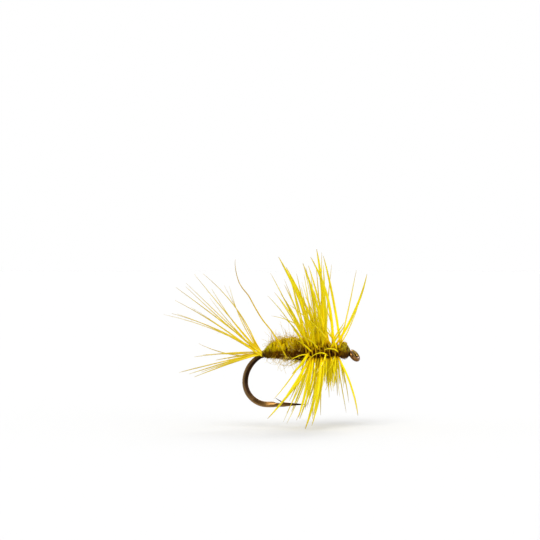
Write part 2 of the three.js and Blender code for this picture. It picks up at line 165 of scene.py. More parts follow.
class Strands:
    """Many tapering tubes collected into one mesh, each closed at both ends.

    Every vertex keeps its share of the way along its tube, and its tube's tone.
    """

    def __init__(self):
        self.points = []
        self.faces = []
        self.share = []
        self.tone = []
        self.count = 0

    def add(self, points, radius, sides=6, flat=1.0, tone=0.5, across=(0.31, 0.87, 0.39)):
        """radius is one value or one for each point; flat squeezes the tube along two sides."""
        points = np.asarray(points, float)
        n = len(points)
        one, two = ring_frames(points, np.array(across, float))
        angle = (2 * np.pi * np.arange(sides) / sides)[:, None]
        radius = np.broadcast_to(np.asarray(radius, float), (n,))[:, None, None]
        ring = np.cos(angle) * one[:, None] + flat * np.sin(angle) * two[:, None]
        vertices = (points[:, None] + radius * ring).reshape(-1, 3)
        start = self.count
        for i in range(n - 1):
            a = start + i * sides
            for k in range(sides):
                b = (k + 1) % sides
                self.faces.append((a + k, a + b, a + b + sides, a + k + sides))
        self.faces.append(tuple(start + k for k in reversed(range(sides))))
        self.faces.append(tuple(start + (n - 1) * sides + k for k in range(sides)))
        self.points.append(vertices)
        self.share.append(np.repeat(np.linspace(0, 1, n), sides))
        self.tone.append(np.full(n * sides, tone))
        self.count += n * sides

    def add_surface(self, vertices, faces, tone=0.5):
        """A ready-made closed skin, beside the tubes."""
        self.faces += [tuple(self.count + i for i in face) for face in faces]
        self.points.append(np.asarray(vertices, float))
        self.share.append(np.zeros(len(vertices)))
        self.tone.append(np.full(len(vertices), tone))
        self.count += len(vertices)

    def build(self, name, material, nodes):
        """Makes the piece, and hides the CAD nodes it stands for."""
        mesh = bpy.data.meshes.new(name)
        mesh.from_pydata(row(np.vstack(self.points)).tolist(), [], self.faces)
        for label, values in (("share", self.share), ("tone", self.tone)):
            data = mesh.attributes.new(label, "FLOAT", "POINT").data
            data.foreach_set("value", np.concatenate(values).astype(np.float32))
        mesh.shade_smooth()
        mesh.materials.append(material)
        piece = bpy.data.objects.new(name, mesh)
        bpy.context.scene.collection.objects.link(piece)
        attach(piece, "root")
        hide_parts(*nodes)
        return piece


def skin(rings):
    """Vertices and faces of a closed surface over rings of points."""
    rings = np.asarray(rings)
    n, sides = rings.shape[:2]
    faces = []
    for i in range(n - 1):
        for k in range(sides):
            a, b = i * sides + k, i * sides + (k + 1) % sides
            faces.append((a, b, b + sides, a + sides))
    faces.append(tuple(reversed(range(sides))))
    faces.append(tuple((n - 1) * sides + k for k in range(sides)))
    return rings.reshape(-1, 3), faces


def wobble(x, y, z, scale=1.0, seed=0.0):
    """Smooth noise at a place, from about -0.5 to 0.5."""
    return noise.noise(Vector((x * scale + seed, y * scale, z * scale)))


# ---- Material helpers ----

WHITE = (1, 1, 1)
BLACK = (0, 0, 0)


def grey(level):
    return (level, level, level)


def new_material(name):
    material = bpy.data.materials.new(name)
    material.use_nodes = True
    tree = material.node_tree
    return material, tree, tree.nodes["Principled BSDF"]


def ramp(tree, source, stops):
    """A colour for each value of the source, from (place, colour) stops."""
    node = tree.nodes.new("ShaderNodeValToRGB")
    elements = node.color_ramp.elements
    while len(elements) < len(stops):
        elements.new(0.5)
    for element, (place, colour) in zip(elements, stops):
        element.position = place
        element.color = (*colour, 1.0)
    tree.links.new(source, node.inputs["Fac"])
    return node.outputs["Color"]


def attribute(tree, name):
    node = tree.nodes.new("ShaderNodeAttribute")
    node.attribute_name = name
    return node.outputs["Fac"]


def noise_value(tree, scale, detail=4.0, stretch=(1, 1, 1)):
    """Noise over the row frame, in features per metre along each axis."""
    where = tree.nodes.new("ShaderNodeTexCoord")
    mapping = tree.nodes.new("ShaderNodeMapping")
    mapping.inputs["Scale"].default_value = stretch
    texture = tree.nodes.new("ShaderNodeTexNoise")
    texture.inputs["Scale"].default_value = scale
    texture.inputs["Detail"].default_value = detail
    tree.links.new(where.outputs["Object"], mapping.inputs["Vector"])
    tree.links.new(mapping.outputs["Vector"], texture.inputs["Vector"])
    return texture.outputs["Fac"]


def maths(tree, operation, one, two, clamped=False):
    """A Math node over two values, each a number or a socket."""
    node = tree.nodes.new("ShaderNodeMath")
    node.operation = operation
    node.use_clamp = clamped
    for socket, value in zip(node.inputs, (one, two)):
        if isinstance(value, (int, float)):
            socket.default_value = value
        else:
            tree.links.new(value, socket)
    return node.outputs["Value"]


def mixed(tree, factor, one, two, blend="MIX"):
    """A Mix node over two colours, each a tuple or a socket."""
    node = tree.nodes.new("ShaderNodeMix")
    node.data_type = "RGBA"
    node.blend_type = blend
    colours = [s for s in node.inputs if s.type == "RGBA"]
    for socket, value in zip((node.inputs["Factor"], *colours), (factor, one, two)):
        if isinstance(value, (int, float)):
            socket.default_value = value
        elif isinstance(value, tuple):
            socket.default_value = (*value, 1.0)
        else:
            tree.links.new(value, socket)
    return next(s for s in node.outputs if s.type == "RGBA")


def bump(tree, shader, height, distance, strength):
    """Surface relief from a height, distance in metres."""
    node = tree.nodes.new("ShaderNodeBump")
    node.inputs["Distance"].default_value = distance
    node.inputs["Strength"].default_value = strength
    tree.links.new(height, node.inputs["Height"])
    tree.links.new(node.outputs["Normal"], shader.inputs["Normal"])


def share_between(tree, axis, low, high):
    """0 to 1 from one place on an axis to another, both in design millimetres."""
    where = tree.nodes.new("ShaderNodeTexCoord")
    split = tree.nodes.new("ShaderNodeSeparateXYZ")
    tree.links.new(where.outputs["Object"], split.inputs["Vector"])
    start = float(low - EYE["XYZ".index(axis)]) * MM
    moved = maths(tree, "SUBTRACT", split.outputs[axis], start)
    return maths(tree, "MULTIPLY", moved, 1 / ((high - low) * MM))


# ---- Materials ----

# Where the fur's colour and its painted shade change, in design millimetres.
SHADE_Z = (-0.45, 0.98)
GREEN_X = (0.243, 1.1)
HACKLE_SHADE_X = (2.0, 3.6)
HACKLE_SHADE_Z = (0.55, 1.0)


def low_shade(tree):
    """Painted shade: the body's underside is painted browner and darker than its back, with a ragged
    edge.
    """
    height = share_between(tree, "Z", *SHADE_Z)
    ragged = maths(tree, "SUBTRACT", noise_value(tree, 4000, 3.0), 0.5)
    ragged = maths(tree, "MULTIPLY", ragged, 0.5)
    stops = ((0.0, (0.17, 0.09, 0.04)), (0.36, (0.29, 0.17, 0.09)), (0.66, WHITE))
    return ramp(tree, maths(tree, "ADD", height, ragged), stops)


def barb_material(name, stops, variety):
    """A translucent dyed barb, whose colour changes from its root to its tip."""
    material, tree, shader = new_material(name)
    share = attribute(tree, "share")
    tone = attribute(tree, "tone")
    # for the yellow barbs this ramp holds a painted light a little above the root
    dyed = ramp(tree, share, stops)
    # some barbs took less dye: they turn tan well before the tip
    pale = maths(tree, "SUBTRACT", maths(tree, "ADD", share, tone), 1.0, clamped=True)
    colour = mixed(tree, maths(tree, "MULTIPLY", pale, 2.2, clamped=True), dyed, TAN)
    streak = noise_value(tree, 1400, 3.0, (1, 1, 0.2))
    shade = ramp(tree, streak, ((0.3, (0.86, 0.8, 0.7)), (0.6, WHITE)))
    colour = mixed(tree, 1.0, colour, shade, "MULTIPLY")
    # and they are deeper in colour all along
    deep = ramp(tree, tone, DEEP_STOPS)
    colour = mixed(tree, variety, colour, deep, "MULTIPLY")
    tree.links.new(colour, shader.inputs["Base Color"])
    rough = ramp(tree, streak, ((0.2, grey(0.35)), (0.8, grey(0.55))))
    tree.links.new(rough, shader.inputs["Roughness"])
    shader.inputs["Subsurface Weight"].default_value = 0.35
    shader.inputs["Subsurface Radius"].default_value = (1.0, 0.85, 0.15)
    shader.inputs["Subsurface Scale"].default_value = 0.00006
    shader.inputs["Specular IOR Level"].default_value = 0.12
    bump(tree, shader, noise_value(tree, 16000, 2.0), 0.000003, 0.3)
    return material


def rope_tint_and_shade(tree, colour):
    """How the fur's colour changes along the rope, with painted shade under the hackle and on the
    rope's underside.
    """
    # the first turns, towards the tail, are greener
    rear = ramp(tree, share_between(tree, "X", *GREEN_X), ((0.0, WHITE), (1.0, BLACK)))
    colour = mixed(tree, maths(tree, "MULTIPLY", rear, 0.8), colour, (0.5, 0.52, 0.003))
    # and painted shade makes it browner and darker where it dips in under the hackle
    stops = ((0.0, BLACK), (0.5, WHITE), (0.9, WHITE), (1.0, BLACK))
    hackle_shade = ramp(tree, share_between(tree, "X", *HACKLE_SHADE_X), stops)
    low = ramp(tree, share_between(tree, "Z", *HACKLE_SHADE_Z), ((0.0, WHITE), (1.0, BLACK)))
    hackle_shade = mixed(tree, 1.0, hackle_shade, low, "MULTIPLY")
    colour = mixed(tree, maths(tree, "MULTIPLY", hackle_shade, 0.75), colour, (0.24, 0.09, 0.0))
    # painted shade: the rope is darker and browner underneath
    return mixed(tree, 1.0, colour, low_shade(tree), "MULTIPLY")


def hair_tint(tree, colour):
    """A loose hair is olive at its root, where it leaves the rope."""
    root = ramp(tree, attribute(tree, "share"), ((0.3, WHITE), (0.7, BLACK)))
    return mixed(tree, root, colour, (0.6, 0.4, 0.0))


def fur_material(name, stops, tint):
    """Dubbed fur: every fibre has its own tone, in patches and along locks."""
    material, tree, shader = new_material(name)
    tone = maths(tree, "MULTIPLY", attribute(tree, "tone"), 0.8)
    patch = maths(tree, "MULTIPLY", noise_value(tree, 4000, 2.0), 1.4)
    locks = maths(tree, "SUBTRACT", noise_value(tree, 9000, 2.0, (1, 0.3, 0.3)), 0.67)
    patch = maths(tree, "ADD", patch, maths(tree, "MULTIPLY", locks, 3.0))
    colour = tint(tree, ramp(tree, maths(tree, "ADD", tone, patch), stops))
    tree.links.new(colour, shader.inputs["Base Color"])
    shader.inputs["Roughness"].default_value = 0.8
    shader.inputs["Specular IOR Level"].default_value = 0.05
    shader.inputs["Subsurface Weight"].default_value = 0.15
    shader.inputs["Subsurface Radius"].default_value = (1.0, 0.8, 0.2)
    shader.inputs["Subsurface Scale"].default_value = 0.00005
    bump(tree, shader, noise_value(tree, 14000, 3.0), 0.000006, 0.6)
    return material


def thread_material():
    """Waxed tying thread: dyed olive and browned by wax in patches, with painted shade on its
    underside.
    """
    material, tree, shader = new_material("waxed_olive_thread")
    grime = noise_value(tree, 2200, 5.0)
    tone = maths(tree, "MULTIPLY", attribute(tree, "tone"), 0.4)
    mix = maths(tree, "ADD", maths(tree, "MULTIPLY", grime, 0.8), tone)
    colour = ramp(tree, mix, THREAD_STOPS)
    # painted shade: the thread is darker underneath
    colour = mixed(tree, 1.0, colour, low_shade(tree), "MULTIPLY")
    tree.links.new(colour, shader.inputs["Base Color"])
    rough = ramp(tree, grime, ((0.3, grey(0.45)), (0.8, grey(0.7))))
    tree.links.new(rough, shader.inputs["Roughness"])
    shader.inputs["Specular IOR Level"].default_value = 0.12
    bump(tree, shader, noise_value(tree, 22000, 2.0, (1, 0.35, 0.35)), 0.000006, 0.8)
    return material


def drawing_lines(tree, uv):
    """Fine noise stretched along the wire."""
    mapping = tree.nodes.new("ShaderNodeMapping")
    mapping.inputs["Scale"].default_value = (9.0, 70.0, 1.0)
    texture = tree.nodes.new("ShaderNodeTexNoise")
    texture.inputs["Scale"].default_value = 1.0
    texture.inputs["Detail"].default_value = 3.0
    tree.links.new(uv, mapping.inputs["Vector"])
    tree.links.new(mapping.outputs["Vector"], texture.inputs["Vector"])
    return texture.outputs["Fac"]


def bronze_material():
    """Chemically bronzed steel: uneven brown with faint drawing lines along the wire."""
    material, tree, shader = new_material("bronzed_steel")
    colour = ramp(tree, noise_value(tree, 700, 6.0), BRONZE_STOPS)
    where = tree.nodes.new("ShaderNodeUVMap")
    where.uv_map = "wire"
    lines = drawing_lines(tree, where.outputs["UV"])
    worn = ramp(tree, lines, ((0.42, grey(0.6)), (0.66, (1.5, 1.35, 1.1))))
    colour = mixed(tree, 1.0, colour, worn, "MULTIPLY")
    # painted highlight: the edges of the forged flats are painted lighter, and painted shade darkens
    # the flats
    split = tree.nodes.new("ShaderNodeSeparateXYZ")
    tree.links.new(where.outputs["UV"], split.inputs["Vector"])
    stops = ((0.08, WHITE), (0.19, BLACK), (0.31, BLACK), (0.42, WHITE))
    edge = ramp(tree, split.outputs["Y"], stops)
    painted_flat_shade = mixed(tree, edge, (0.55, 0.5, 0.5), WHITE)
    colour = mixed(tree, 1.0, colour, painted_flat_shade, "MULTIPLY")
    colour = mixed(tree, maths(tree, "MULTIPLY", edge, 0.5), colour, (0.3, 0.18, 0.07))
    # a painted golden reflection on the foot of the bend, a lighter copper tint on the eye, and a
    # painted olive-tan reflection on the front of the eye
    place = attribute(tree, "share")
    for stops, amount, tint in TINT_AND_REFLECTION_PLACES:
        factor = maths(tree, "MULTIPLY", ramp(tree, place, stops), amount)
        colour = mixed(tree, factor, colour, tint)
    # and the ground point and the barb are darker
    ground = ramp(tree, place, ((0.915, WHITE), (0.94, (0.16, 0.16, 0.18))))
    colour = mixed(tree, 1.0, colour, ground, "MULTIPLY")
    tree.links.new(colour, shader.inputs["Base Color"])
    shader.inputs["Metallic"].default_value = 1.0
    shader.inputs["Coat Weight"].default_value = 0.08
    shader.inputs["Coat Roughness"].default_value = 0.1
    rough = ramp(tree, lines, ((0.3, grey(0.13)), (0.7, grey(0.26))))
    tree.links.new(rough, shader.inputs["Roughness"])
    bump(tree, shader, lines, 0.000004, 0.5)
    return material


# The yellow barbs: dark at the very root, then painted brightest just above it, a painted light
# against the shade inside the dense hackle.
YELLOW_STOPS = (
    (0.0, (0.38, 0.2, 0.0)),
    (0.05, (0.8, 0.52, 0.0)),
    (0.13, (1.0, 0.8, 0.0)),
    (0.28, (0.92, 0.77, 0.0)),
    (0.5, (0.76, 0.645, 0.0)),
    (0.88, (0.68, 0.575, 0.0)),
    (0.96, (0.6, 0.46, 0.01)),
    (1.0, (0.4, 0.3, 0.06)),
)
GOLDEN_STOPS = (
    (0.0, (0.85, 0.6, 0.0)),
    (0.25, (0.84, 0.625, 0.001)),
    (0.55, (0.71, 0.545, 0.01)),
    (1.0, (0.46, 0.36, 0.06)),
)
STRAY_STOPS = (
    (0.0, (0.62, 0.5, 0.0)),
    (0.3, (0.7, 0.52, 0.0)),
    (0.6, (0.55, 0.38, 0.02)),
    (1.0, (0.4, 0.28, 0.06)),
)
TAN = (0.42, 0.3, 0.04)
DEEP_STOPS = ((0.02, WHITE), (0.3, (0.8, 0.74, 0.8)), (0.6, (0.75, 0.68, 0.8)))
OLIVE_STOPS = (
    (0.15, (0.06, 0.02, 0.0)),
    (0.4, (0.3, 0.135, 0.0)),
    (0.65, (0.65, 0.385, 0.0)),
    (0.95, (1.0, 0.76, 0.0)),
)
HAIR_STOPS = ((0.3, (0.52, 0.36, 0.07)), (0.9, (0.72, 0.54, 0.17)))
THREAD_STOPS = ((0.3, (0.1, 0.05, 0.0)), (0.55, (0.22, 0.16, 0.001)), (0.85, (0.38, 0.33, 0.003)))
BRONZE_STOPS = (
    (0.3, (0.02, 0.009, 0.003)),
    (0.5, (0.042, 0.019, 0.006)),
    (0.72, (0.13, 0.055, 0.014)),
)
# Painted reflections on the foot of the bend and the front of the eye, and the eye's lighter copper
# tint: where along the wire, from the eye's cut end to the point, how much, and the tint.
TINT_AND_REFLECTION_PLACES = (
    (((0.67, BLACK), (0.76, WHITE), (0.84, WHITE), (0.92, BLACK)), 0.3, (0.42, 0.22, 0.06)),
    (((0.25, WHITE), (0.31, BLACK)), 0.7, (0.16, 0.065, 0.012)),
    (((0.09, WHITE), (0.13, BLACK)), 0.6, (0.32, 0.21, 0.04)),
)

YELLOW = barb_material("dyed_yellow_barb", YELLOW_STOPS, 0.8)
STRAY = barb_material("olive_golden_barb", STRAY_STOPS, 0.1)
GOLDEN = barb_material("golden_barb", GOLDEN_STOPS, 0.1)
FUR = fur_material("olive_dubbing", OLIVE_STOPS, rope_tint_and_shade)
HAIR = fur_material("loose_dubbing_hair", HAIR_STOPS, hair_tint)
THREAD_LOOK = thread_material()
BRONZE = bronze_material()


# ---- The hook: one length of wire from the end of its eye to its point ----

HOOK_SIDES = 28
BEND_STEPS = 30


def forged(share):
    """Half height, half width and flat limit of the wire, from round to fully forged."""
    tall = lerp(WIRE_R, FORGED_TALL, share)
    return tall, tall, lerp(WIRE_R, FORGED_WIDE, share)


def eye_path():
    """Round the eye from the wire's cut end, then over into the neck."""
    line = np.array([math.cos(EYE_DOWN), 0, -math.sin(EYE_DOWN)])
    upright = np.array([-line[2], 0, line[0]])
    side = math.cos(EYE_TWIST) * ACROSS + math.sin(EYE_TWIST) * upright
    turn = np.radians(np.linspace(24, 340, 46))
    ring = EYE - EYE_RING_R * np.cos(turn)[:, None] * line
    ring = ring + EYE_RING_R * np.sin(turn)[:, None] * side
    neck = EYE - (EYE_RING_R + 0.03) * line
    return ring, neck


def bend_place(centre_x, radius, turn):
    """A place on one of the bend's two arcs, whose centres are at the same height."""
    return np.array([centre_x + radius * math.cos(turn), 0, radius * math.sin(turn) - BEND_TOP_R])


def hook_places():
    """Centre, then half height, half width and flat limit, along the whole wire."""
    ring, neck = eye_path()
    places = [(p, (EYE_WIRE_R,) * 3) for p in ring]
    places.append((neck - 0.02 * ACROSS, (0.178,) * 3))
    for x, z, r in ((7.08, 0.03, 0.185), (SHANK_END_X, 0.0, WIRE_R)):
        places.append((np.array([x, 0, z]), (r,) * 3))
    for x in np.linspace(6.6, BEND_X + 0.1, 24):
        places.append((np.array([x, 0, 0]), (WIRE_R,) * 3))
    for i in range(BEND_STEPS + 1):
        centre = bend_place(BEND_X, BEND_TOP_R, math.pi / 2 * (1 + i / BEND_STEPS))
        places.append((centre, forged(float(smooth_step(i / BEND_STEPS, 0.3, 0.7)))))
    low_x = BEND_X - BEND_TOP_R + BEND_LOW_R
    for i in range(1, BEND_STEPS + 1):
        centre = bend_place(low_x, BEND_LOW_R, math.pi * (1 + i / (2 * BEND_STEPS)))
        places.append((centre, forged(1.0)))
    places.append((np.array([0.95, 0, SPEAR_Z]), forged(1.0)))
    for x in np.linspace(1.12, POINT_X, 34):
        radius = np.interp(x, (1.3, 1.75, 2.64, 3.05, POINT_X), (WIRE_R, 0.2, 0.1, 0.062, 0.008))
        places.append((np.array([x, 0, SPEAR_Z]), (radius,) * 3))
    return places


def barb_cut(x):
    """How high the spear's top may stand, where the barb was raised out of it."""
    return SPEAR_Z + np.interp(x, BARB_CUT_X, BARB_CUT_HEIGHT)


def hook_rings(places):
    centres = np.array([p for p, _ in places])
    along = unit(np.gradient(centres, axis=0))
    across = ACROSS
    angle = 2 * np.pi * (np.arange(HOOK_SIDES) + 0.5) / HOOK_SIDES
    rings = []
    for centre, direction, (_, (tall, wide, flat)) in zip(centres, along, places):
        across = unit(across - direction * (across @ direction))
        beside = np.cross(direction, across)
        out = np.clip(wide * np.sin(angle), -flat, flat)
        ring = centre + out[:, None] * across + (tall * np.cos(angle))[:, None] * beside
        if centre[2] < SPEAR_Z + 0.01 and 1.0 < centre[0] < 2.0:
            ring[:, 2] = np.minimum(ring[:, 2], barb_cut(ring[:, 0]))
        rings.append(ring)
    return np.array(rings)


def unwrap_wire(piece, lengths):
    """A UV layer: u runs along the wire, and v from one edge of its section to the other."""
    mesh = piece.data
    vertex = np.empty(len(mesh.loops), int)
    mesh.loops.foreach_get("vertex_index", vertex)
    sweep = np.zeros((len(mesh.vertices), 2))
    turn = np.abs(np.arange(HOOK_SIDES) / HOOK_SIDES - 0.5)
    swept = len(lengths) * HOOK_SIDES
    sweep[:swept, 0] = np.repeat(lengths, HOOK_SIDES)
    sweep[:swept, 1] = np.tile(turn, len(lengths))
    layer = mesh.uv_layers.new(name="wire")
    layer.data.foreach_set("uv", sweep[vertex].astype(np.float32).ravel())


def make_hook():
    places = hook_places()
    lengths = np.linspace(0, 1, len(places))
    strands = Strands()
    strands.add_surface(*skin(hook_rings(places)))
    strands.share[0] = np.repeat(lengths, HOOK_SIDES)
    # the barb is a sliver of the wire, thin at its tip and still joined at its root
    root = np.array([1.84, 0, SPEAR_Z + 0.08])
    tip = np.array([1.1, 0, -3.7])
    sliver = bezier(root, lerp(root, tip, 0.5) - np.array([0, 0, 0.03]), tip, 12)
    strands.add(sliver, np.linspace(0.1, 0.02, 12), 12, 0.7, across=ACROSS)
    strands.share[-1][:] = 0.95
    piece = strands.build("hook_wire", BRONZE, ["hook"])
    unwrap_wire(piece, lengths)


# ---- Thread ----

STEPS_PER_TURN = 26


def wire_height(x):
    """Height of the wire's middle where it starts into the bend."""
    past = np.maximum(0.0, BEND_X - np.asarray(x, float))
    return np.sqrt(BEND_TOP_R**2 - past**2) - BEND_TOP_R


def outline(shape, x):
    """Height of the middle and half height of a body at x."""
    xs, tops, bottoms = shape
    top = np.interp(x, xs, tops)
    bottom = np.interp(x, xs, bottoms)
    return (top + bottom) / 2, (top - bottom) / 2


def around(x, clock, middle, tall, wide):
    """Points at given clock positions round the shank."""
    return np.column_stack([x, -wide * np.sin(clock), middle + tall * np.cos(clock)])


def wind(strands, span, turns, size, lean=0.0, tone=0.5, start=0.0):
    """A strand of thread wound from one x to another over a body of a given size.

    lean tips every turn towards the eye at the top, as crossing turns do.
    """
    t = np.linspace(0, 1, int(turns * STEPS_PER_TURN))
    clock = 2 * np.pi * turns * t + start
    x = lerp(span[0], span[1], t) + lean * np.cos(clock)
    middle, tall = size(x, clock)
    path = around(x, clock, middle, tall, WIDTH_SHARE * tall)
    strands.add(path, THREAD_STRAND_R, 7, 0.7, tone)


def body_size(shape, lift):
    """The size to wind over: a body's outline, raised by a lift."""

    def size(x, clock):
        middle, tall = outline(shape, x)
        return middle, tall + lift

    return size


def body_rings(shape, span, count, sides, shrink, rough, seed):
    """The skin of a body inside its outline, with small irregular swellings."""
    rings = []
    clock = 2 * np.pi * np.arange(sides) / sides
    for x in np.linspace(span[0], span[1], count):
        middle, tall = outline(shape, x)
        ends = min(1.0, 0.55 + 6 * min(x - span[0], span[1] - x))
        ring = around(np.full(sides, x), clock, middle, tall, WIDTH_SHARE * tall)
        centre = np.array([x, 0, middle])
        for k in range(sides):
            swell = shrink * ends + rough * wobble(*ring[k], 3.0, seed)
            ring[k] = centre + (ring[k] - centre) * swell
        rings.append(ring)
    return rings


def make_head():
    strands = Strands()
    core = body_rings(HEAD, (6.35, 6.94), 16, 36, 0.9, 0.03, 5.0)
    strands.add_surface(*skin(core), tone=0.2)
    wind(strands, (6.37, 6.92), 12, body_size(HEAD, -0.03), tone=0.4)
    wind(strands, (6.42, 6.86), 6, body_size(HEAD, 0.0), lean=0.05, tone=0.6, start=1.0)
    wind(strands, (6.88, 6.45), 5, body_size(HEAD, 0.012), lean=-0.06, tone=0.7, start=2.5)
    strands.build("head_thread", THREAD_LOOK, ["head_wraps"])


def neck_size(x, clock):
    """The wire's neck behind the eye, which the last turns lie on."""
    return 0.04, 0.38 - 1.1 * (x - 7.06)


def make_whip_finish():
    strands = Strands()
    for lift in (-0.25, -0.16, -0.09):
        wind(strands, (6.965, 7.03), 2.4, body_size(WHIP, lift), tone=0.3)
    wind(strands, (6.965, 7.035), 2.6, body_size(WHIP, -0.03), tone=0.4)
    wind(strands, (7.03, 6.97), 2.4, body_size(WHIP, 0.0), lean=0.02, tone=0.6, start=0.8)
    wind(strands, (7.06, 7.13), 2.3, neck_size, tone=0.5)
    strands.build("whip_finish_thread", THREAD_LOOK, ["whip_finish_wraps"])


def tail_size(lift):
    """The wire, with the tail's butts lying on its top and sides."""

    def size(x, clock):
        over = smooth_step(np.cos(clock), -0.75, -0.2)
        return wire_height(x), lerp(0.225, 0.345, over) + lift

    return size


def make_tail_wraps():
    strands = Strands()
    wind(strands, (0.0, 0.41), 6.5, tail_size(0.0), tone=0.5)
    wind(strands, (0.38, 0.05), 3.5, tail_size(0.02), lean=0.03, tone=0.65, start=1.6)
    strands.build("tail_thread", THREAD_LOOK, ["tail_tie_in_wraps"])


# ---- Feather barbs ----

# How thick a barb's tip is, as a share of its thickest place.
BARB_TIP = 0.15
BARBULE_R = (0.011, 0.009, 0.004)
# The points of one ring of a CAD fibre are closer together than this, and two rings are not.
CAD_RING = 0.12


def barb_radius(share, thick, fullness):
    """A barb is thickest above its root; the fuller it is, the later it narrows to its tip."""
    grown = 0.75 + 0.25 * smooth_step(share, 0, 0.12)
    return thick * grown * (BARB_TIP + (1 - BARB_TIP) * (1 - share**fullness))


def add_barb(strands, rng, points, thick, sides=6, tone=0.0, full=1.7, flat=0.72, sway=0.02):
    """One barb along a row of points, with a slight sway of its own."""
    points = np.array(points, float)
    share = np.linspace(0, 1, len(points))
    phase = rng.uniform(0, 2 * np.pi, 3)
    pace = rng.uniform(3.5, 8, 3)
    place = share[:, None]
    points += sway * place * (np.sin(pace * place + phase) - np.sin(phase))
    across = rng.normal(size=3)
    strands.add(points, barb_radius(share, thick, full), sides, flat, tone, across)
    return points


def add_barbules(strands, rng, points, span, count, length, tone=0.1):
    """Short web along both edges of a span of a barb, leaning towards its tip."""
    share = np.linspace(0, 1, len(points))
    along = unit(np.gradient(points, axis=0))
    edge = unit(np.cross(along.mean(0), rng.normal(size=3)))
    for k in range(count):
        place = lerp(span[0], span[1], (k + rng.uniform(0, 1)) / count)
        root = np.array([np.interp(place, share, points[:, i]) for i in range(3)])
        forward = np.array([np.interp(place, share, along[:, i]) for i in range(3)])
        away = edge * (1 if k % 2 else -1) + 0.35 * rng.normal(size=3)
        heading = unit(0.75 * forward + 0.8 * unit(away))
        reach = length * rng.uniform(0.6, 1.2) * (1.15 - 0.6 * k / count)
        bent = root + heading * reach * 0.55 + forward * reach * 0.12
        tip = bent + unit(heading + 0.5 * forward) * reach * 0.5
        strands.add(np.array([root, bent, tip]), BARBULE_R, 3, tone=tone)


def cad_centreline(name):
    """The middle line of a thin CAD fibre from its foremost end, in design millimetres."""
    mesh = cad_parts[name].data
    points = np.array([v.co for v in mesh.vertices]) / MM + EYE
    left = np.unique(np.round(points, 4), axis=0)
    places = []
    while len(left):
        near = np.linalg.norm(left - left[0], axis=1) < CAD_RING
        places.append(left[near].mean(0))
        left = left[~near]
    places = np.array(places)
    order = [int(np.argmax(places[:, 0]))]
    while len(order) < len(places):
        gaps = np.linalg.norm(places - places[order[-1]], axis=1)
        gaps[order] = np.inf
        order.append(int(np.argmin(gaps)))
    return places[order]


def make_tail():
    rng = np.random.default_rng(16)
    for name in sorted(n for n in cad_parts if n.startswith("tail_barb_")):
        strands = Strands()
        route = spline(cad_centreline(name), 40)
        # the level and drooping barbs are thicker and keep their dye
        low = route[-1][2] < 0.3
        thick = rng.uniform(0.052, 0.074) * (1.25 if low else 1.0)
        tone = rng.uniform(0.0, 0.15 if low else 0.4)
        shape = add_barb(strands, rng, route, thick, 6, tone, 2.8, 0.8)
        add_barbules(strands, rng, shape, (0.55, 0.97), 8, 0.2, tone=0.5)
        strands.build(name + "_fibre", GOLDEN, [name])


def make_stray():
    rng = np.random.default_rng(4)
    strands = Strands()
    route = spline(cad_centreline("stray_barb"), 60)
    if route[0][2] > route[-1][2]:
        route = route[::-1]
    add_barb(strands, rng, route, 0.058, 7, tone=0.4, full=3.0, sway=0.01)
    strands.build("stray_fibre", STRAY, ["stray_barb"])


# ---- Hackle: the wound quill and its barbs ----

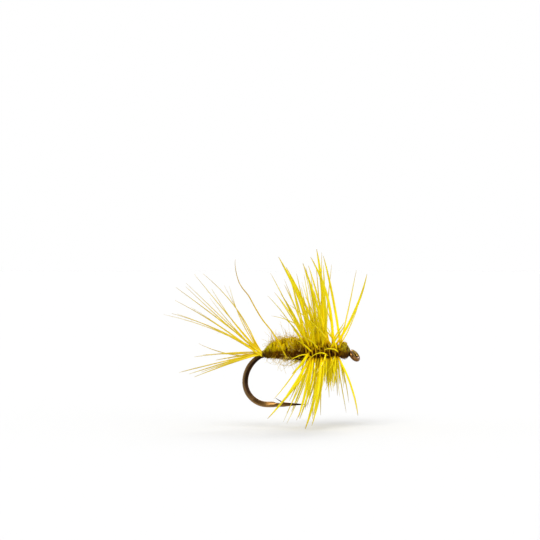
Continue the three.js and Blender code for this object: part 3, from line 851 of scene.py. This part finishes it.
# The barbs that make the outline: x of the root, then x, y and z of the tip, how far it bows
# towards the hook eye, and its thickness against the common one.
OUTLINE_BARBS = (
    (3.6, 0.69, -2.5, 6.44, 0.1, 0.8),
    (4.3, 1.33, -0.6, 7.76, 0.2, 1.3),
    (4.9, 1.95, 0.9, 6.95, 0.1, 1.2),
    (3.65, 1.37, 5.2, 4.37, 0.1, 0.8),
    (3.8, 1.82, 3.9, 5.94, 0.1, 0.7),
    (3.75, 1.97, -5.4, 3.93, 0.1, 0.9),
    (3.6, 0.79, 4.8, 2.89, 1.2, 0.8),
    (3.6, 1.42, -5.2, 3.14, 0.4, 0.7),
    (5.4, 3.25, -1.6, 7.28, 0.12, 1.1),
    (4.3, 3.45, 3.6, 6.34, 0.1, 0.8),
    (4.65, 3.3, 4.4, 5.7, 0.1, 0.8),
    (5.3, 3.79, 2.2, 7.07, 0.1, 1),
    (5.84, 3.94, -1, 7.76, 0.5, 1.3),
    (5.0, 4.43, -0.3, 8.36, 0.28, 1.3),
    (4.9, 4.88, 1.2, 8.17, 0, 0.9),
    (5.0, 5.05, 2.6, 7.1, 0.1, 1),
    (5.1, 4.7, -2.9, 6.6, 0.2, 1.1),
    (6.26, 4.98, 0.1, 7.86, 0.16, 1.2),
    (5.5, 5.72, 2.2, 7.18, -0.1, 0.7),
    (6.2, 7.78, 2.6, 6.68, 0, 0.7),
    (6.25, 8.47, -1.5, 6.39, 0.35, 1),
    (6.2, 8.03, 4.8, 3.88, 0.2, 0.7),
    (5.6, 6.55, -4.8, 2.35, 0, 0.9),
    (5.9, 2.2, -4.4, 3.94, 0.3, 0.9),
    (4.3, 0.44, -2.2, -5.24, 0.1, 1.1),
    (4.0, 1.53, -4.2, -3.94, 0.1, 1),
    (3.8, 2.42, -4.6, -1.5, 0.1, 1.3),
    (3.9, 2.6, 5, -1.89, 0.1, 0.8),
    (3.85, 2.41, 3.6, -5.04, 0.1, 1),
    (4.1, 2.95, -3.4, -5.04, 0.1, 1.1),
    (4.4, 3.09, 2.6, -5.54, 0.1, 1),
    (4.7, 3.45, -2, -6.08, 0.2, 1.3),
    (4.2, 3.55, 3.7, -4.9, 0, 0.9),
    (5.0, 3.98, -2.6, -5.78, 0.2, 1.1),
    (4.6, 4.15, -3.8, -4.8, 0.1, 1),
    (4.9, 4.83, 3.3, -5.34, 0, 0.8),
    (6.1, 6.26, 4.4, -3.76, 0, 0.8),
    (6.0, 6.94, 3.6, -5.15, 0, 0.7),
    (6.1, 7.24, 4.4, -4.35, 0.1, 0.8),
    (6.25, 7.68, -3, -4.94, 0.3, 1),
)
# Short webby barbs below the front turns, in the same terms.
WEB_BARBS = (
    (5.2, 5.05, -0.8, -2.3, 0, 1.4),
    (5.4, 5.3, 0.9, -2.55, 0, 1.5),
    (5.6, 5.55, -0.4, -2.6, 0, 1.5),
    (5.75, 5.8, 1.2, -2.5, 0, 1.4),
    (5.9, 6.0, -1.2, -2.35, 0, 1.4),
)
# The web's lower edge.
WEB_END_Z = -2.6
HACKLE_BARB_R = 0.086
BARBS_PER_TURN = 10
SHORT_BARBS = 70
# How far a barb's root is sunk below the quill, and how far it may stray beside it.
ROOT_SUNK = 0.14
ROOT_STRAY = 0.15
# The fan's front edge is at this x, less its slant times the height above the shank.
FAN_FRONT_X = 5.7
FAN_SLANT = 0.16
# Below the body, barbs from roots behind the first x end behind the second.
REAR_ROOT_X = 4.9
REAR_TIP_X = 4.1


def quill_place(share):
    """A place on the quill by its share of the way along, and which way is outward there."""
    share = np.asarray(share, float)
    x = lerp(HACKLE_X[0], HACKLE_X[1], 0.6 * share + 0.4 * share**2)
    middle, tall = outline(THORAX, x)
    clock = 2 * np.pi * HACKLE_TURNS * share
    outward = np.stack([0 * clock, -np.sin(clock), np.cos(clock)], axis=-1)
    centre = np.stack([x, 0 * x, middle], axis=-1)
    reach = tall * 1.03 + 0.012 + QUILL_R[0]
    return centre + outward * reach[..., None], outward


def quill_near(x, clock):
    """The place on the quill at a clock position, on the turn that is nearest to x."""
    turn = (clock / (2 * math.pi)) % 1.0
    points, outward = quill_place((turn + np.arange(HACKLE_TURNS)) / HACKLE_TURNS)
    best = int(np.argmin(np.abs(points[:, 0] - x)))
    return points[best], outward[best]


def barb_route(root, tip, bow, count=18):
    """A curve from root to tip that bows towards the hook eye."""
    chord = unit(tip - root)
    forward = unit(ALONG - chord * (ALONG @ chord))
    return bezier(root, (root + tip) / 2 + 2 * bow * forward, tip, count)


# Barbs that curl round in front of the body, by x, y and z of places from root to tip.
CURLED_BARBS = (
    ((4.0, 3.5, 3.03, 2.6, 2.2), (-0.5, -0.95, -1.2, -1.4, -1.6), (-0.35, -0.14, -0.2, -0.36, -0.56)),
    ((5.35, 5.0, 4.6, 4.15, 3.7), (-0.5, -0.9, -1.1, -1.3, -1.5), (-0.25, -0.03, 0.0, -0.2, -0.7)),
    ((6.2, 5.9, 5.59, 5.3, 5.0), (-0.45, -0.75, -0.95, -1.1, -1.2), (0.05, 0.28, 0.34, 0.33, 0.24)),
    ((4.1, 3.75, 3.4, 3.1, 2.8), (-0.45, -0.85, -1.1, -1.4, -1.7), (0.0, 0.36, 0.68, 0.88, 1.02)),
    ((6.1, 5.85, 5.5, 5.2, 4.85), (-0.45, -0.9, -1.3, -1.6, -1.9), (0.2, 0.95, 1.45, 1.8, 2.15)),
    ((5.75, 5.9, 6.15, 6.4, 6.6), (-0.4, -0.8, -1.1, -1.3, -1.5), (0.3, 1.2, 1.75, 2.15, 2.5)),
)


def rooted(rng, root, outward):
    """A barb's root, moved off the quill into the fur beside it."""
    return root - ROOT_SUNK * outward + rng.uniform(-ROOT_STRAY, ROOT_STRAY) * ALONG


def leaning(outward, lean):
    """Outward, leaning towards the hook eye by an angle."""
    return math.cos(lean) * outward + math.sin(lean) * ALONG


def side_barbs(rng):
    """Root, tip and bow of the barbs that fill the hackle all the way round."""
    for turn in np.arange(HACKLE_TURNS * BARBS_PER_TURN) / BARBS_PER_TURN:
        clock = 2 * math.pi * (turn + rng.uniform(-0.04, 0.04))
        share = turn / HACKLE_TURNS
        near = max(0.0, math.sin(clock))
        lean = math.radians(lerp(-20, 9, share) - 6 * near + rng.normal(0, 5))
        length = 5.8 + 0.6 * math.cos(clock) + rng.uniform(-1.0, 0.6)
        # few of them stand in front of the body, and few above the front turns
        if near > 0.7 and (share < 0.5 or rng.uniform() < 0.6):
            continue
        point, outward = quill_place(share)
        if point[0] > 5.1 and outward[2] > 0.6 and rng.uniform() < 0.7:
            continue
        point = rooted(rng, point, outward)
        swung = unit(outward + 0.12 * rng.normal(size=3) * (1 - ALONG))
        tip = point + length * leaning(swung, lean)
        if tip[2] > 1.0:
            tip[0] = min(tip[0], FAN_FRONT_X - FAN_SLANT * tip[2])
        if tip[2] < WEB_END_Z:
            if point[0] < REAR_ROOT_X:
                tip[0] = min(tip[0], REAR_TIP_X)
            else:
                # the ones in front are short, and end with the web
                tip = lerp(point, tip, (point[2] - WEB_END_Z) / (point[2] - tip[2]))
        yield point, tip, rng.uniform(0.0, 0.3)


def short_barbs(rng):
    """Root, tip and bow of shorter barbs: a dense mass above the body and a lower one below."""
    for i in range(SHORT_BARBS):
        above = i % 5 < 3
        x = rng.uniform(3.6, 5.0) if above else rng.uniform(4.2, 6.1)
        clock = rng.normal(0.0, 0.45) + (0.0 if above else math.pi)
        root, outward = quill_near(x, clock)
        root = rooted(rng, root, outward)
        lean = math.radians(rng.normal(-8, 8) if above else rng.normal(-3, 12))
        length = rng.uniform(2.2, 4.6) if above else rng.uniform(1.6, 3.6)
        yield root, root + length * leaning(outward, lean), rng.uniform(-0.1, 0.2)


def make_quill():
    quill = Strands()
    stem, _ = quill_place(np.linspace(0, 1, 30 * HACKLE_TURNS))
    quill.add(stem, np.linspace(*QUILL_R, len(stem)), 8, 0.8, 0.0, ALONG)
    # painted shade: the whole quill takes the darker amber colour of a barb's root, as it lies hidden
    # in the shade of the hackle
    quill.share[-1][:] = 0.02
    quill.build("hackle_quill", YELLOW, ["hackle_feather"])


def placed_route(rng, x, tip, bow):
    """The route of a barb that is given by its root's x and its tip."""
    root, outward = quill_near(x, math.atan2(-tip[1], tip[2]))
    return barb_route(rooted(rng, root, outward), np.array(tip), bow)


def make_hackle():
    rng = np.random.default_rng(27)
    barbs = Strands()
    web = Strands()
    for x, *tip, bow, thickness in OUTLINE_BARBS:
        route = placed_route(rng, x, tip, bow)
        strong = thickness >= 1
        tone = 0.0 if strong else rng.uniform(0.1, 0.4)
        thick = HACKLE_BARB_R * thickness * (1.25 if strong else 1.0)
        full = 5.0 if strong else 3.0
        shape = add_barb(barbs, rng, route, thick, 7, tone, full, 0.8)
        add_barbules(web, rng, shape, (0.03, 0.45), 16, 0.24)
    for x, *tip, bow, thickness in WEB_BARBS:
        route = placed_route(rng, x, tip, bow)
        shape = add_barb(barbs, rng, route, HACKLE_BARB_R * thickness, 7)
        add_barbules(web, rng, shape, (0.05, 0.98), 60, 0.36)
    for places in CURLED_BARBS:
        route = spline(np.transpose(places), 22)
        shape = add_barb(barbs, rng, route, HACKLE_BARB_R * 0.8, 7, full=2.6)
        add_barbules(web, rng, shape, (0.03, 0.4), 10, 0.18)
    for root, tip, bow in side_barbs(rng):
        thick = rng.uniform(0.65, 1.05)
        route = barb_route(root, tip, bow)
        tone = rng.uniform(0.0, 0.3)
        full = 1.5 + 2.5 * thick
        shape = add_barb(barbs, rng, route, HACKLE_BARB_R * thick, 6, tone, full)
        add_barbules(web, rng, shape, (0.03, 0.4), 12, 0.22)
    for root, tip, bow in short_barbs(rng):
        thick = HACKLE_BARB_R * rng.uniform(0.6, 1.0)
        route = barb_route(root, tip, bow, 12)
        shape = add_barb(barbs, rng, route, thick, 6, rng.uniform(0.0, 0.12), 2.5)
        add_barbules(web, rng, shape, (0.03, 0.6), 20, 0.26)
    barbs.build("hackle_barbs", YELLOW, ["hackle_feather"])
    web.build("hackle_web", YELLOW, ["hackle_feather"])


# ---- Dubbing: a felted core under fine fibres, some of them loose ----

# Where along the shank each kind of fibre starts.
ABDOMEN_SPAN = (0.22, 3.42)
FRINGE_SPAN = (0.3, 3.4)
TALL_SPAN = (0.8, 3.0)
JOIN_SPAN = (3.3, 3.75)
THORAX_SPAN = (3.58, 6.24)
SHORT_SPAN = (3.58, 6.7)
FRONT_SPAN = (5.9, 6.92)

# How many fibres of each kind.
ABDOMEN_UNDER = 2600
ABDOMEN_TOP = 1700
ABDOMEN_SHORT = 900
ABDOMEN_FRINGE = 900
ABDOMEN_CURLED = 340
ABDOMEN_TALL = 16
THORAX_FIBRES = 1500
FRONT_FIBRES = 600
JOIN_FIBRES = 200
THORAX_SHORT = 520


def clump(x, clock):
    """How far the fur is bunched up at a place, from about -0.5 to 0.5."""
    return wobble(2.6 * x, 1.5 * math.cos(clock), 1.5 * math.sin(clock))


def lay_fibre(strands, rng, shape, span, tone, rise, bunch=0.16):
    """A crimped fibre wound part of the way round the rope, rising out of it in places."""
    steps = 9
    t = np.linspace(0, 1, steps)
    start = rng.uniform(0, 2 * np.pi)
    clock = start + rng.uniform(0.4, 1.6) * rng.choice((-1, 1)) * t
    crimp = np.sin(rng.uniform(4, 11) * t + rng.uniform(0, 6))
    x = rng.uniform(*span)
    bunched = clump(x, start)
    x = x + rng.normal(0, 0.3) * t + rng.uniform(0.01, 0.05) * crimp
    x = np.clip(x, *span)
    middle, tall = outline(shape, x)
    lift = rng.uniform(-0.06, 0.01) + rng.uniform(0, rise) * np.sin(np.pi * t) + 0.015 * crimp
    lift = (lift + bunch * bunched) * smooth_step(x, span[0] - 0.15, span[0] + 0.35)
    points = around(x, clock, middle, tall + lift, WIDTH_SHARE * tall + lift)
    thick = rng.uniform(0.011, 0.023)
    # painted light and shade: fibres in bunched-up tufts get a lighter tone, those in the hollows a
    # darker one
    own = tone + rng.uniform(-0.3, 0.3) + 0.8 * bunched
    strands.add(points, np.linspace(thick, thick * 0.5, steps), 3, tone=own)


def loose_hair(strands, rng, shape, span, clock, length, curl, thick, tone=0.65):
    """A hair that stands out of the rope and curls away."""
    x = rng.uniform(*span)
    length *= lerp(0.25, 1.0, float(smooth_step(x, 0.2, 1.2)))
    middle, tall = outline(shape, x)
    outward = np.array([0, -math.sin(clock), math.cos(clock)])
    heading = unit(outward + np.array([rng.normal(0, 0.7), 0, 0]) + 0.3 * rng.normal(size=3))
    axis = unit(rng.normal(size=3))
    place = np.array([x, 0, middle]) + outward * tall * 0.9
    points = [place]
    steps = 12
    for _ in range(steps):
        place = place + heading * length / steps
        heading = unit(heading + curl / steps * np.cross(axis, heading) + 0.08 * rng.normal(size=3))
        points.append(place)
    own = tone + rng.uniform(-0.35, 0.35)
    strands.add(np.array(points), np.linspace(thick, thick * 0.4, steps + 1), 3, tone=own)


def make_abdomen_rope(rng):
    core = Strands()
    rings = body_rings(ABDOMEN, ABDOMEN_SPAN, 90, 56, 0.93, 0.11, 1.0)
    core.add_surface(*skin(rings), tone=0.15)
    core.build("abdomen_core", FUR, ["abdomen_dubbing"])
    under = Strands()
    for _ in range(ABDOMEN_UNDER):
        lay_fibre(under, rng, ABDOMEN, ABDOMEN_SPAN, 0.3, 0.05)
    under.build("abdomen_under_fur", FUR, ["abdomen_dubbing"])
    fur = Strands()
    for _ in range(ABDOMEN_TOP):
        lay_fibre(fur, rng, ABDOMEN, ABDOMEN_SPAN, 0.7, 0.2)
    for _ in range(ABDOMEN_SHORT):
        clock = rng.normal(0, 1.0)
        length = rng.uniform(0.2, 0.6)
        loose_hair(fur, rng, ABDOMEN, ABDOMEN_SPAN, clock, length, 2.0, 0.013, 0.85)
    fur.build("abdomen_fur", FUR, ["abdomen_dubbing"])


def make_abdomen_hair(rng):
    """The back is teased out into a fringe painted bright, as the lit top of the body, and longer
    hairs curl out of it and below.
    """
    fringe = Strands()
    for _ in range(ABDOMEN_FRINGE):
        length = rng.uniform(0.25, 0.55)
        clock = rng.normal(0, 0.75)
        # painted light: the fringe on the back takes a high tone, bright as if lit from above
        loose_hair(fringe, rng, ABDOMEN, FRINGE_SPAN, clock, length, 2.5, 0.018, 1.15)
    fringe.build("abdomen_fringe", FUR, ["abdomen_dubbing"])
    hairs = Strands()
    for _ in range(ABDOMEN_CURLED):
        clock = rng.normal(0, 0.45) + (math.pi if rng.uniform() < 0.45 else 0)
        length = rng.uniform(0.5, 1.8)
        curl = rng.uniform(1, 7)
        loose_hair(hairs, rng, ABDOMEN, FRINGE_SPAN, clock, length, curl, 0.018)
    for _ in range(ABDOMEN_TALL):
        clock = rng.normal(0, 0.3)
        length = rng.uniform(0.8, 2.1)
        loose_hair(hairs, rng, ABDOMEN, TALL_SPAN, clock, length, 0.5, 0.019, 0.4)
    hairs.build("abdomen_hairs", HAIR, ["abdomen_dubbing"])


def make_abdomen():
    rng = np.random.default_rng(93)
    make_abdomen_rope(rng)
    make_abdomen_hair(rng)


def make_thorax():
    """The dubbing under the hackle, some of it caught in the head's thread."""
    rng = np.random.default_rng(71)
    strands = Strands()
    rings = body_rings(THORAX, THORAX_SPAN, 60, 48, 0.9, 0.06, 9.0)
    strands.add_surface(*skin(rings), tone=0.1)
    for _ in range(THORAX_FIBRES):
        lay_fibre(strands, rng, THORAX, THORAX_SPAN, 0.35, 0.12)
    for _ in range(FRONT_FIBRES):
        lay_fibre(strands, rng, FRONT, FRONT_SPAN, 0.42, 0.05, 0.1)
    for _ in range(JOIN_FIBRES):
        lay_fibre(strands, rng, JOIN, JOIN_SPAN, 0.35, 0.06, 0.04)
    strands.build("thorax_fur", FUR, ["thorax_dubbing"])
    hairs = Strands()
    for _ in range(THORAX_SHORT):
        clock = rng.uniform(0, 2 * np.pi)
        length = rng.uniform(0.2, 0.5)
        loose_hair(hairs, rng, FRONT, SHORT_SPAN, clock, length, 2.0, 0.01)
    hairs.build("thorax_hairs", FUR, ["thorax_dubbing"])


# ---- The object ----

make_hook()
make_tail_wraps()
make_tail()
make_stray()
make_abdomen()
make_thorax()
make_quill()
make_hackle()
make_head()
make_whip_finish()
for node in ("thread_underbody", "hackle_tie_in_wraps"):
    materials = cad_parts[node].data.materials
    materials.clear()
    materials.append(THREAD_LOOK)

# ---- The stage: a white studio with a pale floor ----

# In metres; the floor is so wide that no view reaches its edge.
FLOOR_HALF = 30.0
FLOOR_GAP = 0.00005
CAMERA_PLACE = (-0.00685, -0.183, 0.00696)
CAMERA_LENS = 150
SENSOR_WIDTH = 36


def make_floor(height):
    material, _, shader = new_material("studio_floor")
    shader.inputs["Base Color"].default_value = (0.62, 0.62, 0.62, 1)
    shader.inputs["Roughness"].default_value = 0.9
    shader.inputs["Specular IOR Level"].default_value = 0.0
    signs = ((-1, -1), (1, -1), (1, 1), (-1, 1))
    corners = [(x * FLOOR_HALF, y * FLOOR_HALF, height) for x, y in signs]
    mesh = bpy.data.meshes.new("floor")
    mesh.from_pydata(corners, [], [(0, 1, 2, 3)])
    mesh.materials.append(material)
    floor = bpy.data.objects.new("floor", mesh)
    bpy.context.scene.collection.objects.link(floor)
    floor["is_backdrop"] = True


def make_world():
    """A white room: bright overhead, dimmer low down, and plain white where it is seen."""
    world = bpy.data.worlds.new("studio")
    world.use_nodes = True
    tree = world.node_tree
    tree.nodes.clear()
    output = tree.nodes.new("ShaderNodeOutputWorld")
    seen = tree.nodes.new("ShaderNodeBackground")
    lit = tree.nodes.new("ShaderNodeBackground")
    mix = tree.nodes.new("ShaderNodeMixShader")
    path = tree.nodes.new("ShaderNodeLightPath")
    where = tree.nodes.new("ShaderNodeTexCoord")
    split = tree.nodes.new("ShaderNodeSeparateXYZ")
    tree.links.new(where.outputs["Generated"], split.inputs["Vector"])
    height = maths(tree, "ADD", maths(tree, "MULTIPLY", split.outputs["Z"], 0.5), 0.5)
    above = ramp(tree, height, ((0.3, grey(0.06)), (0.55, grey(0.3)), (1.0, grey(0.8))))
    behind = ramp(tree, split.outputs["Y"], ((0.35, BLACK), (0.95, grey(0.8))))
    sideways = maths(tree, "ABSOLUTE", split.outputs["X"], 0.0)
    beside = ramp(tree, sideways, ((0.72, BLACK), (0.92, grey(1.3))))
    glow = mixed(tree, 1.0, mixed(tree, 1.0, above, behind, "ADD"), beside, "ADD")
    tree.links.new(glow, lit.inputs["Color"])
    seen.inputs["Color"].default_value = (1, 1, 1, 1)
    tree.links.new(path.outputs["Is Camera Ray"], mix.inputs["Fac"])
    tree.links.new(lit.outputs[0], mix.inputs[1])
    tree.links.new(seen.outputs[0], mix.inputs[2])
    tree.links.new(mix.outputs[0], output.inputs["Surface"])
    bpy.context.scene.world = world


def make_sun(name, towards, strength, softness):
    """A soft light from one direction, the same over the whole floor."""
    sun = bpy.data.objects.new(name, bpy.data.lights.new(name, "SUN"))
    sun.data.energy = strength
    sun.data.angle = math.radians(softness)
    sun.rotation_euler = Vector(towards).to_track_quat("Z", "Y").to_euler()
    bpy.context.scene.collection.objects.link(sun)


def make_camera():
    """Level with a point above the fly, and far enough away that depth hardly shows."""
    camera = bpy.data.objects.new("camera", bpy.data.cameras.new("camera"))
    camera.data.lens = CAMERA_LENS
    camera.data.sensor_width = SENSOR_WIDTH
    camera.data.clip_start = 0.001
    camera.location = CAMERA_PLACE
    camera.rotation_euler = (math.pi / 2, 0, 0)
    bpy.context.scene.collection.objects.link(camera)
    bpy.context.scene.camera = camera


make_world()
make_floor(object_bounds()[0][2] - FLOOR_GAP)
make_sun("key", (-0.3, -0.75, 0.85), 2.0, 34)
make_sun("fill", (0.7, -0.75, 0.25), 0.7, 40)
make_sun("back", (0.2, 0.8, 0.7), 1.3, 30)
make_camera()
bpy.context.scene.view_settings.view_transform = "Standard"
